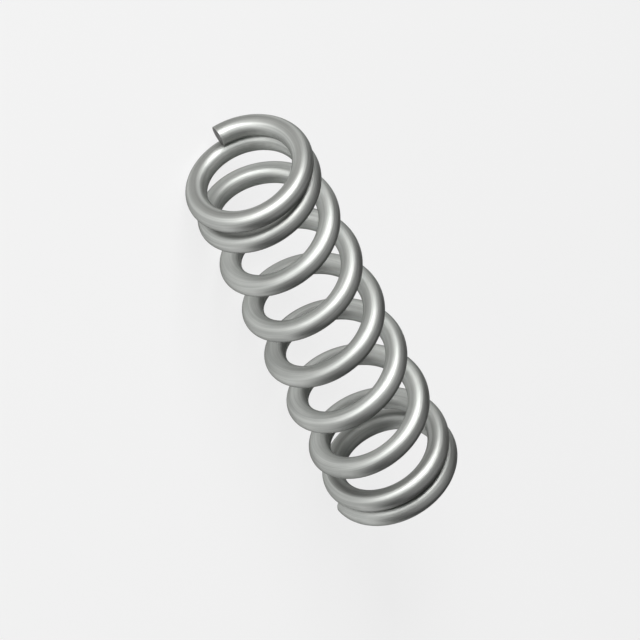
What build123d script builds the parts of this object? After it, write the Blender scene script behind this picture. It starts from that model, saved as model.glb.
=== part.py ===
from build123d import *
from math import cos, radians, sin, tau
import os

os.makedirs("parts", exist_ok=True)

# Wire and coil, in millimetres
wire_diameter = 2.0
outer_diameter = 12.5
free_length = 46.0

# Winding, counted in turns of the wire
total_turns = 8.75
closed_turns = 1.0
easing_turns = 1.0

# Closed turns lie this far apart, in millimetres
closed_gap = 0.02

# Direction in which the wire's first end leaves the coil's axis, in degrees from +Y towards +Z
first_end_angle = -63.0

# Points of the wire's centre line in each turn
points_per_turn = 20

coil_radius = (outer_diameter - wire_diameter) / 2
wire_travel = free_length - wire_diameter
closed_pitch = wire_diameter + closed_gap
end_travel = closed_pitch * (2 * closed_turns + easing_turns)
open_pitch = (wire_travel - end_travel) / (total_turns - 2 * closed_turns - easing_turns)


def travel(turns):
    """How far the wire's centre has moved along the coil's axis, from its first end."""
    if turns > total_turns / 2:
        return wire_travel - travel(total_turns - turns)
    eased = min(max(turns - closed_turns, 0), easing_turns)
    opened = max(turns - closed_turns - easing_turns, 0)
    widening = open_pitch - closed_pitch
    return closed_pitch * turns + widening * (eased**2 / (2 * easing_turns) + opened)


def wire_point(turns):
    """A point of the wire's centre line. The coil's axis is level, along X."""
    angle = radians(first_end_angle) + tau * turns
    return Vector(
        travel(turns) - wire_travel / 2,
        coil_radius * cos(angle),
        coil_radius * sin(angle) + outer_diameter / 2,
    )


def closed_direction(turns):
    """The wire's direction in a closed turn, as a unit vector."""
    angle = radians(first_end_angle) + tau * turns
    around = tau * coil_radius
    return Vector(closed_pitch, -around * sin(angle), around * cos(angle)).normalized()


# The spring is one wire, cut square at both ends
with BuildPart() as spring:
    steps = round(total_turns * points_per_turn)
    centre_points = [wire_point(total_turns * step / steps) for step in range(steps + 1)]
    with BuildLine():
        Spline(
            centre_points,
            tangents=(closed_direction(0), closed_direction(total_turns)),
            tangent_scalars=(1, 1),
        )
    with BuildSketch(Plane(origin=wire_point(0), z_dir=closed_direction(0))):
        Circle(wire_diameter / 2)
    sweep(is_frenet=True)

spring.part.label = "spring"
export_step(spring.part, "parts/spring.step")
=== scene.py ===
from math import cos, pi, radians, sin, tau

import bpy
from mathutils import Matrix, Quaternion, Vector


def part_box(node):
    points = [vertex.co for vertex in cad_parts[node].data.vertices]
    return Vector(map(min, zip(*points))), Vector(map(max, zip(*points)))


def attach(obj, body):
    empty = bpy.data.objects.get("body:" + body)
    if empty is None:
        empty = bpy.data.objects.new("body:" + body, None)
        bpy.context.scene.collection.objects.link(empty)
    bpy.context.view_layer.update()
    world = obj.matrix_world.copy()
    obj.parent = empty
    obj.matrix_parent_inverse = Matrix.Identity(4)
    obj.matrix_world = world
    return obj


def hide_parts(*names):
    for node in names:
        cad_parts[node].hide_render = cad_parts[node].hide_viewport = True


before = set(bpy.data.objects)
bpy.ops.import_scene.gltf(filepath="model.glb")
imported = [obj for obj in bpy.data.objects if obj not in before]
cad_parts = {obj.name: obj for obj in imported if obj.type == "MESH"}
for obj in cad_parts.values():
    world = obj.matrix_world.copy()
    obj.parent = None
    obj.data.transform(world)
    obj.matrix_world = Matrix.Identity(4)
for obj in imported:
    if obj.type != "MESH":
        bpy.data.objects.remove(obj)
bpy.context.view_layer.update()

MM = 0.001

# The coil's sizes, from the frame and in metres
spring_low, spring_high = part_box("spring")
free_length = spring_high.x - spring_low.x
outer_diameter = spring_high.z - spring_low.z
axis_height = (spring_high.z + spring_low.z) / 2
wire_diameter = 2.0 * MM

# The winding, in turns of the wire and degrees from +Y towards +Z
total_turns = 8.75
closed_turns = 1.0
easing_turns = 1.0
closed_gap = 0.02 * MM
first_end_angle = -63.0

# The mesh of the wire
steps_per_turn = 96
wire_sides = 40
edge_steps = 4
edge_radius = 0.04 * MM


def fill(tree, socket, value):
    """Gives a socket its value, or links it to the socket that makes the value."""
    if isinstance(value, bpy.types.NodeSocket):
        tree.links.new(value, socket)
    else:
        socket.default_value = value


def node(tree, kind, inputs=None, **settings):
    """A new node with its settings, its inputs filled by name."""
    made = tree.nodes.new(kind)
    for name, value in settings.items():
        setattr(made, name, value)
    for name, value in (inputs or {}).items():
        fill(tree, made.inputs[name], value)
    return made


def reckon(tree, operation, *values):
    """The result of one step of arithmetic on sockets and numbers."""
    made = node(tree, "ShaderNodeMath", operation=operation)
    for socket, value in zip(made.inputs, values):
        fill(tree, socket, value)
    return made.outputs["Value"]


def clamped(tree, value, low, high):
    """A value kept between two others."""
    return reckon(tree, "MINIMUM", reckon(tree, "MAXIMUM", value, low), high)


def vector_of(tree, x, y, z):
    """Three numbers as one vector."""
    return node(tree, "ShaderNodeCombineXYZ", {"X": x, "Y": y, "Z": z}).outputs["Vector"]


def new_group(name, kind, inputs, outputs):
    """An empty node group with its inputs and outputs, each given as name: (socket kind, value)."""
    tree = bpy.data.node_groups.new(name, kind)
    for title, (socket_kind, value) in inputs.items():
        made = tree.interface.new_socket(title, in_out="INPUT", socket_type=socket_kind)
        if value is not None:
            made.default_value = value
    for title, socket_kind in outputs.items():
        tree.interface.new_socket(title, in_out="OUTPUT", socket_type=socket_kind)
    return tree, tree.nodes.new("NodeGroupInput").outputs, tree.nodes.new("NodeGroupOutput").inputs


# Wire wound into a coil


def travel_along_axis(tree, given, turn):
    """How far the wire's centre lies from the middle of the coil, along its axis, at a turn."""
    pitch = reckon(tree, "ADD", given["Wire Diameter"], given["Closed Gap"])
    wire_travel = reckon(tree, "SUBTRACT", given["Free Length"], given["Wire Diameter"])
    closed_both = reckon(tree, "MULTIPLY", given["Closed Turns"], 2.0)
    end_turns = reckon(tree, "ADD", closed_both, given["Easing Turns"])
    open_turns = reckon(tree, "SUBTRACT", given["Turns"], end_turns)
    open_travel = reckon(tree, "SUBTRACT", wire_travel, reckon(tree, "MULTIPLY", pitch, end_turns))
    widening = reckon(tree, "SUBTRACT", reckon(tree, "DIVIDE", open_travel, open_turns), pitch)

    from_nearer_end = reckon(tree, "MINIMUM", turn, reckon(tree, "SUBTRACT", given["Turns"], turn))
    past_closed = reckon(tree, "SUBTRACT", from_nearer_end, given["Closed Turns"])
    eased = clamped(tree, past_closed, 0.0, given["Easing Turns"])
    opened = reckon(tree, "MAXIMUM", reckon(tree, "SUBTRACT", past_closed, given["Easing Turns"]), 0.0)
    easing = reckon(tree, "DIVIDE", reckon(tree, "MULTIPLY", eased, eased), given["Easing Turns"])
    widened = reckon(tree, "MULTIPLY_ADD", easing, 0.5, opened)
    from_end = reckon(
        tree, "MULTIPLY_ADD", widening, widened, reckon(tree, "MULTIPLY", pitch, from_nearer_end)
    )

    from_middle = reckon(tree, "SUBTRACT", reckon(tree, "MULTIPLY", wire_travel, 0.5), from_end)
    past_middle = reckon(tree, "SUBTRACT", turn, reckon(tree, "MULTIPLY", given["Turns"], 0.5))
    return reckon(tree, "MULTIPLY", reckon(tree, "SIGN", past_middle), from_middle)


def quarter(tree, share):
    """The sine and cosine of a share of a quarter turn."""
    angle = reckon(tree, "MULTIPLY", share, pi / 2)
    return reckon(tree, "SINE", angle), reckon(tree, "COSINE", angle)


def coil_tree():
    """Winds a round wire into a compression spring with closed ends and softened cut edges."""
    tree, given, result = new_group(
        "Compression spring",
        "GeometryNodeTree",
        {
            "Wire Diameter": ("NodeSocketFloat", 0.0),
            "Outer Diameter": ("NodeSocketFloat", 0.0),
            "Free Length": ("NodeSocketFloat", 0.0),
            "Axis Height": ("NodeSocketFloat", 0.0),
            "Turns": ("NodeSocketFloat", 0.0),
            "Closed Turns": ("NodeSocketFloat", 0.0),
            "Easing Turns": ("NodeSocketFloat", 0.0),
            "Closed Gap": ("NodeSocketFloat", 0.0),
            "First End Angle": ("NodeSocketFloat", 0.0),
            "Edge Radius": ("NodeSocketFloat", 0.0),
            "Steps": ("NodeSocketInt", 1),
            "Edge Steps": ("NodeSocketInt", 1),
            "Wire Sides": ("NodeSocketInt", 3),
            "Wire Finish": ("NodeSocketMaterial", None),
            "Cut Finish": ("NodeSocketMaterial", None),
        },
        {"Spring": "NodeSocketGeometry"},
    )
    tree.is_modifier = True

    wire_radius = reckon(tree, "MULTIPLY", given["Wire Diameter"], 0.5)
    across_rings = reckon(tree, "SUBTRACT", given["Outer Diameter"], given["Wire Diameter"])
    ring_radius = reckon(tree, "MULTIPLY", across_rings, 0.5)

    # Each point's share of the way through the first edge, the wire and the last edge
    both_edges = reckon(tree, "MULTIPLY", given["Edge Steps"], 2.0)
    points = reckon(tree, "ADD", reckon(tree, "ADD", given["Steps"], both_edges), 1.0)
    index = node(tree, "GeometryNodeSplineParameter").outputs["Index"]
    past_edge = reckon(tree, "SUBTRACT", index, given["Edge Steps"])
    along = clamped(tree, reckon(tree, "DIVIDE", past_edge, given["Steps"]), 0.0, 1.0)
    before_wire = reckon(tree, "SUBTRACT", given["Edge Steps"], index)
    past_wire = reckon(tree, "SUBTRACT", past_edge, given["Steps"])
    first_share = clamped(tree, reckon(tree, "DIVIDE", before_wire, given["Edge Steps"]), 0.0, 1.0)
    last_share = clamped(tree, reckon(tree, "DIVIDE", past_wire, given["Edge Steps"]), 0.0, 1.0)
    first_sine, first_cosine = quarter(tree, first_share)
    last_sine, last_cosine = quarter(tree, last_share)

    # The turn that each point has reached
    ring_length = reckon(tree, "MULTIPLY", ring_radius, tau)
    edge_turn = reckon(tree, "DIVIDE", given["Edge Radius"], ring_length)
    wire_turns = reckon(tree, "MULTIPLY_ADD", edge_turn, -2.0, given["Turns"])
    in_first_edge = reckon(tree, "MULTIPLY", edge_turn, reckon(tree, "SUBTRACT", 1.0, first_sine))
    in_last_edge = reckon(tree, "MULTIPLY", edge_turn, last_sine)
    turn = reckon(
        tree, "MULTIPLY_ADD", along, wire_turns, reckon(tree, "ADD", in_first_edge, in_last_edge)
    )

    # The centre line
    angle = reckon(tree, "MULTIPLY_ADD", turn, tau, given["First End Angle"])
    across = reckon(tree, "MULTIPLY", ring_radius, reckon(tree, "COSINE", angle))
    height = reckon(tree, "MULTIPLY_ADD", ring_radius, reckon(tree, "SINE", angle), given["Axis Height"])
    line = node(tree, "GeometryNodeCurvePrimitiveLine")
    resampled = node(
        tree, "GeometryNodeResampleCurve", {"Curve": line.outputs["Curve"], "Count": points}
    )
    wound = node(
        tree,
        "GeometryNodeSetPosition",
        {
            "Geometry": resampled.outputs["Curve"],
            "Position": vector_of(tree, travel_along_axis(tree, given, turn), across, height),
        },
    )
    centre_line = node(tree, "GeometryNodeCaptureAttribute", {"Geometry": wound.outputs["Geometry"]})
    centre_line.capture_items.new("FLOAT", "Length")
    length = node(tree, "GeometryNodeSplineParameter").outputs["Length"]
    fill(tree, centre_line.inputs["Length"], length)

    # The wire's round section
    circle = node(
        tree,
        "GeometryNodeCurvePrimitiveCircle",
        {"Resolution": given["Wire Sides"], "Radius": wire_radius},
    )
    section = node(tree, "GeometryNodeCaptureAttribute", {"Geometry": circle.outputs["Curve"]})
    section.capture_items.new("FLOAT", "Round")
    share_round = node(tree, "GeometryNodeSplineParameter").outputs["Factor"]
    fill(tree, section.inputs["Round"], share_round)

    # The wire narrows over its cut edges
    falling_short = reckon(tree, "SUBTRACT", 2.0, reckon(tree, "ADD", first_cosine, last_cosine))
    edge_share = reckon(tree, "DIVIDE", given["Edge Radius"], wire_radius)
    narrowed = reckon(tree, "SUBTRACT", 1.0, reckon(tree, "MULTIPLY", edge_share, falling_short))
    wire = node(
        tree,
        "GeometryNodeCurveToMesh",
        {
            "Curve": centre_line.outputs["Geometry"],
            "Profile Curve": section.outputs["Geometry"],
            "Scale": narrowed,
            "Fill Caps": True,
        },
    )

    # Where each point lay when the wire was still straight
    round_angle = reckon(tree, "MULTIPLY", section.outputs["Round"], tau)
    straight = vector_of(
        tree,
        reckon(tree, "MULTIPLY", wire_radius, reckon(tree, "COSINE", round_angle)),
        reckon(tree, "MULTIPLY", wire_radius, reckon(tree, "SINE", round_angle)),
        centre_line.outputs["Length"],
    )
    marked = node(
        tree,
        "GeometryNodeStoreNamedAttribute",
        {"Geometry": wire.outputs["Mesh"], "Name": "straight_wire"},
        data_type="FLOAT_VECTOR",
        domain="POINT",
    )
    fill(tree, marked.inputs["Value"], straight)

    # The two cut faces are flat, and the rest is smooth
    corners = node(tree, "GeometryNodeInputMeshFaceNeighbors").outputs["Vertex Count"]
    is_cut = reckon(tree, "GREATER_THAN", corners, 4.0)
    is_wire = reckon(tree, "SUBTRACT", 1.0, is_cut)
    smooth = node(
        tree,
        "GeometryNodeSetShadeSmooth",
        {"Geometry": marked.outputs["Geometry"], "Shade Smooth": is_wire},
    )
    realized = node(tree, "GeometryNodeRealizeInstances", {"Geometry": smooth.outputs["Geometry"]})
    wire_done = node(
        tree,
        "GeometryNodeSetMaterial",
        {"Geometry": realized.outputs["Geometry"], "Material": given["Wire Finish"]},
    )
    cut_done = node(
        tree,
        "GeometryNodeSetMaterial",
        {
            "Geometry": wire_done.outputs["Geometry"],
            "Selection": is_cut,
            "Material": given["Cut Finish"],
        },
    )
    fill(tree, result["Spring"], cut_done.outputs["Geometry"])
    return tree


def made_by(tree, name, values):
    """A plain mesh object made by a geometry tree with the given values."""
    starter = bpy.data.objects.new(name + "_starter", bpy.data.meshes.new(name + "_starter"))
    bpy.context.scene.collection.objects.link(starter)
    modifier = starter.modifiers.new("Nodes", "NODES")
    modifier.node_group = tree
    for item in tree.interface.items_tree:
        if item.in_out == "INPUT":
            modifier[item.identifier] = values[item.name]
    graph = bpy.context.evaluated_depsgraph_get()
    mesh = bpy.data.meshes.new_from_object(starter.evaluated_get(graph))
    mesh.name = name
    piece = bpy.data.objects.new(name, mesh)
    bpy.context.scene.collection.objects.link(piece)
    bpy.data.objects.remove(starter)
    return piece


# Finishes

# The wire where it is darkest and lightest, where it is rubbed, the painted shade where closed turns
# meet, and the cut end
wire_dark = (0.43, 0.441, 0.424, 1.0)
wire_light = (0.62, 0.635, 0.612, 1.0)
wire_rubbed = (0.68, 0.69, 0.67, 1.0)
wire_seam_shade = (0.12, 0.118, 0.11, 1.0)
cut_dark = (0.07, 0.07, 0.067, 1.0)
cut_light = (0.17, 0.17, 0.165, 1.0)
edge_tint = (0.0, 0.0, 0.0, 1.0)

# Marks that drawing leaves on the wire: their width and their length
fine_line = (0.1 * MM, 9 * MM)
broad_band = (0.45 * MM, 30 * MM)

# Grain and clouding of the wire, and of its cut ends with their scores
wire_grain = 0.06 * MM
wire_clouds = 5 * MM
cut_grain = 0.09 * MM
cut_clouds = 0.8 * MM
cut_score = (0.8 * MM, 0.07 * MM)

# How deep the rubbed track reaches from the coil's outside, and how deep it is rubbed fully
rubbed_depth = 0.12 * MM
rubbed_fully = 0.01 * MM

# How far the closed turns reach along the coil from each end
closed_length = 3.2 * wire_diameter

# Roughness of the wire between its lines, and what the lines, the grain and rubbing change
satin_least = 0.4
satin_lines = 0.16
satin_grain = 0.08
satin_rubbed = -0.08

# Roughness of a cut end, and what torn grain adds
cut_least = 0.5
cut_torn = 0.15

# Height of the relief on the wire and on a cut end
wire_relief = 0.01 * MM
cut_relief = 0.012 * MM


def vector_reckon(tree, operation, first, second):
    """The result of one step of arithmetic on two vectors."""
    made = node(tree, "ShaderNodeVectorMath", {0: first, 1: second}, operation=operation)
    return made.outputs["Vector"]


def spread(tree, place, across, along):
    """A place counted in steps of so many metres in X and Y, and so many in Z."""
    return vector_reckon(tree, "MULTIPLY", place, (1 / across, 1 / across, 1 / along))


def noise(tree, place, detail, roughness):
    """Smooth noise over a place that is already scaled, from 0 to 1."""
    made = node(
        tree,
        "ShaderNodeTexNoise",
        {"Vector": place, "Scale": 1.0, "Detail": detail, "Roughness": roughness},
    )
    return made.outputs["Fac"]


def eased_range(tree, value, low, high, low_result=0.0, high_result=1.0):
    """A value turned smoothly from one range to another, and kept in it."""
    made = node(
        tree,
        "ShaderNodeMapRange",
        {
            "Value": value,
            "From Min": low,
            "From Max": high,
            "To Min": low_result,
            "To Max": high_result,
        },
        interpolation_type="SMOOTHSTEP",
    )
    return made.outputs["Result"]


def blended(tree, share, first, second):
    """Two colours mixed by a share. The colour sockets go by place, as their names repeat."""
    made = node(tree, "ShaderNodeMix", data_type="RGBA")
    fill(tree, made.inputs["Factor"], share)
    fill(tree, made.inputs[6], first)
    fill(tree, made.inputs[7], second)
    return made.outputs[2]


def steel_grain_group():
    """The fine grain and the faint clouding of bare steel, over a place given in metres."""
    tree, given, result = new_group(
        "Steel grain",
        "ShaderNodeTree",
        {
            "Place": ("NodeSocketVector", None),
            "Grain Size": ("NodeSocketFloat", 0.0),
            "Cloud Size": ("NodeSocketFloat", 0.0),
        },
        {"Grain": "NodeSocketFloat", "Clouds": "NodeSocketFloat"},
    )
    for size, name, detail in (("Grain Size", "Grain", 2.0), ("Cloud Size", "Clouds", 3.0)):
        scaled = node(tree, "ShaderNodeVectorMath", {0: given["Place"]}, operation="SCALE")
        fill(tree, scaled.inputs["Scale"], reckon(tree, "DIVIDE", 1.0, given[size]))
        fill(tree, result[name], noise(tree, scaled.outputs["Vector"], detail, 0.55))
    return tree


def new_material(name):
    """A material with only its output, and the output's surface socket."""
    material = bpy.data.materials.new(name)
    material.use_nodes = True
    material.node_tree.nodes.clear()
    output = material.node_tree.nodes.new("ShaderNodeOutputMaterial")
    return material, material.node_tree, output.inputs["Surface"]


def grain_of(tree, group, place, grain_size, cloud_size):
    """The steel grain group placed in a material."""
    made = node(tree, "ShaderNodeGroup", node_tree=group)
    fill(tree, made.inputs["Place"], place)
    fill(tree, made.inputs["Grain Size"], grain_size)
    fill(tree, made.inputs["Cloud Size"], cloud_size)
    return made.outputs["Grain"], made.outputs["Clouds"]


def drawn_wire(grain_group):
    """Drawn spring steel: satin, with fine lines along the wire and a rubbed track outside."""
    material, tree, surface = new_material("drawn steel wire")
    straight = node(tree, "ShaderNodeAttribute", attribute_name="straight_wire").outputs["Vector"]
    on_coil = node(tree, "ShaderNodeTexCoord").outputs

    # Marks of the drawing die along the wire
    fine_lines = noise(tree, spread(tree, straight, *fine_line), 3.0, 0.6)
    bands = noise(tree, spread(tree, straight, *broad_band), 2.0, 0.5)
    grain, clouds = grain_of(tree, grain_group, straight, wire_grain, wire_clouds)

    # The coiling tools rub the outside, where the wire is farthest from the coil's axis
    from_axis = vector_reckon(tree, "ADD", on_coil["Object"], (0.0, 0.0, -axis_height))
    across_axis = vector_reckon(tree, "MULTIPLY", from_axis, (0.0, 1.0, 1.0))
    reach = node(tree, "ShaderNodeVectorMath", {0: across_axis}, operation="LENGTH").outputs["Value"]
    outer_radius = outer_diameter / 2
    outside = eased_range(tree, reach, outer_radius - rubbed_depth, outer_radius - rubbed_fully)
    rubbed = reckon(tree, "MULTIPLY", outside, eased_range(tree, clouds, 0.35, 0.6))

    # Painted shade where closed turns lie against each other, on the faces that look along the coil
    facing_along = node(tree, "ShaderNodeSeparateXYZ", {"Vector": on_coil["Normal"]}).outputs["X"]
    place_along = node(tree, "ShaderNodeSeparateXYZ", {"Vector": on_coil["Object"]}).outputs["X"]
    towards_next = eased_range(tree, reckon(tree, "ABSOLUTE", facing_along), 0.86, 1.0)
    closed_from = free_length / 2 - closed_length
    from_middle = reckon(tree, "ABSOLUTE", place_along)
    in_closed = eased_range(tree, from_middle, closed_from, closed_from + wire_diameter)
    painted_seam_shade = reckon(tree, "MULTIPLY", towards_next, in_closed)

    # Colour
    tone = reckon(tree, "MULTIPLY_ADD", fine_lines, 0.4, reckon(tree, "MULTIPLY", bands, 0.4))
    tone = reckon(tree, "MULTIPLY_ADD", clouds, 0.2, tone)
    colour = blended(tree, eased_range(tree, tone, 0.36, 0.64), wire_dark, wire_light)
    colour = blended(tree, reckon(tree, "MULTIPLY", rubbed, 0.5), colour, wire_rubbed)
    # Painted shade darkens the closed turns where they meet
    colour = blended(tree, reckon(tree, "MULTIPLY", painted_seam_shade, 0.55), colour, wire_seam_shade)

    # Roughness and relief
    satin = reckon(tree, "MULTIPLY_ADD", fine_lines, satin_lines, satin_least)
    satin = reckon(tree, "MULTIPLY_ADD", grain, satin_grain, satin)
    satin = reckon(tree, "MULTIPLY_ADD", rubbed, satin_rubbed, satin)
    height = reckon(tree, "MULTIPLY_ADD", grain, 0.3, fine_lines)
    bump = node(
        tree, "ShaderNodeBump", {"Strength": 1.0, "Distance": wire_relief, "Height": height}
    )
    metal = node(
        tree,
        "ShaderNodeBsdfPrincipled",
        {
            "Base Color": colour,
            "Metallic": 1.0,
            "Specular Tint": edge_tint,
            "Roughness": satin,
            "Normal": bump.outputs["Normal"],
        },
    )
    fill(tree, surface, metal.outputs["BSDF"])
    return material


def cut_end(grain_group):
    """The sheared end of the wire: dull and scored, with patches of torn grain."""
    material, tree, surface = new_material("cut wire end")
    place = node(tree, "ShaderNodeTexCoord").outputs["Object"]
    grain, clouds = grain_of(tree, grain_group, place, cut_grain, cut_clouds)
    scores = noise(tree, spread(tree, place, *cut_score), 2.0, 0.5)
    torn = eased_range(tree, clouds, 0.42, 0.58)
    tone = reckon(tree, "MULTIPLY_ADD", grain, 0.5, reckon(tree, "MULTIPLY", scores, 0.5))
    colour = blended(tree, tone, cut_dark, cut_light)
    dull = reckon(tree, "MULTIPLY_ADD", torn, cut_torn, cut_least)
    height = reckon(tree, "MULTIPLY_ADD", reckon(tree, "MULTIPLY", grain, torn), 2.0, scores)
    bump = node(
        tree, "ShaderNodeBump", {"Strength": 0.5, "Distance": cut_relief, "Height": height}
    )
    metal = node(
        tree,
        "ShaderNodeBsdfPrincipled",
        {
            "Base Color": colour,
            "Metallic": 1.0,
            "Roughness": dull,
            "Normal": bump.outputs["Normal"],
        },
    )
    fill(tree, surface, metal.outputs["BSDF"])
    return material


steel_grain = steel_grain_group()
spring = made_by(
    coil_tree(),
    "spring_wire",
    {
        "Wire Diameter": wire_diameter,
        "Outer Diameter": outer_diameter,
        "Free Length": free_length,
        "Axis Height": axis_height,
        "Turns": total_turns,
        "Closed Turns": closed_turns,
        "Easing Turns": easing_turns,
        "Closed Gap": closed_gap,
        "First End Angle": radians(first_end_angle),
        "Edge Radius": edge_radius,
        "Steps": round(total_turns * steps_per_turn),
        "Edge Steps": edge_steps,
        "Wire Sides": wire_sides,
        "Wire Finish": drawn_wire(steel_grain),
        "Cut Finish": cut_end(steel_grain),
    },
)
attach(spring, "root")
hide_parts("spring")


# Camera: its degrees from +X towards +Y and above the floor, and its turn about its own view
camera_azimuth = -149.19
camera_elevation = 33.50
camera_turn = 106.67
view_size = 58.144 * MM
camera_distance = 0.4


def direction(azimuth, elevation):
    """A unit vector from its degrees from +X towards +Y and above the floor."""
    level = cos(radians(elevation))
    return Vector(
        (level * cos(radians(azimuth)), level * sin(radians(azimuth)), sin(radians(elevation)))
    )


centre = Vector((0.0, 0.0, axis_height))
towards_camera = direction(camera_azimuth, camera_elevation)
camera_data = bpy.data.cameras.new("camera")
camera_data.type = "ORTHO"
camera_data.ortho_scale = view_size
camera = bpy.data.objects.new("camera", camera_data)
bpy.context.scene.collection.objects.link(camera)
camera.location = centre + towards_camera * camera_distance
about_view = Quaternion((0.0, 0.0, 1.0), radians(camera_turn))
camera.rotation_mode = "QUATERNION"
camera.rotation_quaternion = towards_camera.to_track_quat("Z", "Y") @ about_view
bpy.context.scene.camera = camera

# Floor and light, in metres. The share of plain white keeps the floor pale under any light
white = (1.0, 1.0, 1.0, 1.0)
paper_grey = (0.8, 0.8, 0.8, 1.0)
floor_size = 6.0
white_share = 0.8
lamp_distance = 0.6

# The room's level above the horizon, and below it, where it is as pale as the floor
room_above = 0.02
room_below = 0.88


def white_floor():
    """Pale paper: it takes shadows, and it is as white in the metal as it is to the camera."""
    material, tree, surface = new_material("white floor")
    paper = node(tree, "ShaderNodeBsdfDiffuse", {"Color": paper_grey})
    plain = node(tree, "ShaderNodeEmission", {"Color": white})
    rays = node(tree, "ShaderNodeLightPath").outputs
    seen = reckon(tree, "MAXIMUM", rays["Is Camera Ray"], rays["Is Glossy Ray"])
    seen = reckon(tree, "MAXIMUM", seen, rays["Is Transmission Ray"])
    mixed = node(tree, "ShaderNodeMixShader", {"Fac": reckon(tree, "MULTIPLY", seen, white_share)})
    fill(tree, mixed.inputs[1], paper.outputs["BSDF"])
    fill(tree, mixed.inputs[2], plain.outputs["Emission"])
    fill(tree, surface, mixed.outputs["Shader"])
    return material


def studio_room():
    """The room round the floor, dark above the horizon and pale below it."""
    world = bpy.data.worlds.new("studio")
    world.use_nodes = True
    tree = world.node_tree
    towards = node(tree, "ShaderNodeTexCoord").outputs["Generated"]
    rise = node(tree, "ShaderNodeSeparateXYZ", {"Vector": towards}).outputs["Z"]
    level = eased_range(tree, rise, 0.005, 0.05, room_below, room_above)
    background = tree.nodes["Background"]
    fill(tree, background.inputs["Color"], white)
    fill(tree, background.inputs["Strength"], level)
    return world


def softbox(name, azimuth, elevation, width, height, power):
    """A rectangular soft lamp that faces the coil, with its width level and its power in watts."""
    data = bpy.data.lights.new(name, "AREA")
    data.shape = "RECTANGLE"
    data.size = width
    data.size_y = height
    data.energy = power
    lamp = bpy.data.objects.new(name, data)
    bpy.context.scene.collection.objects.link(lamp)
    away = direction(azimuth, elevation)
    lamp.location = centre + away * lamp_distance
    lamp.rotation_euler = away.to_track_quat("Z", "Y").to_euler()


bpy.ops.mesh.primitive_plane_add(size=floor_size)
floor = bpy.context.object
floor.name = "floor"
floor.data.materials.append(white_floor())

bpy.context.scene.world = studio_room()
softbox("main softbox", 175.0, 21.0, 0.38, 0.2, 3.4)
softbox("low strip light", -147.0, 3.5, 0.32, 0.06, 1.0)
softbox("overhead softbox", 0.0, 90.0, 1.2, 1.2, 1.1)

bpy.context.scene.view_settings.view_transform = "Standard"
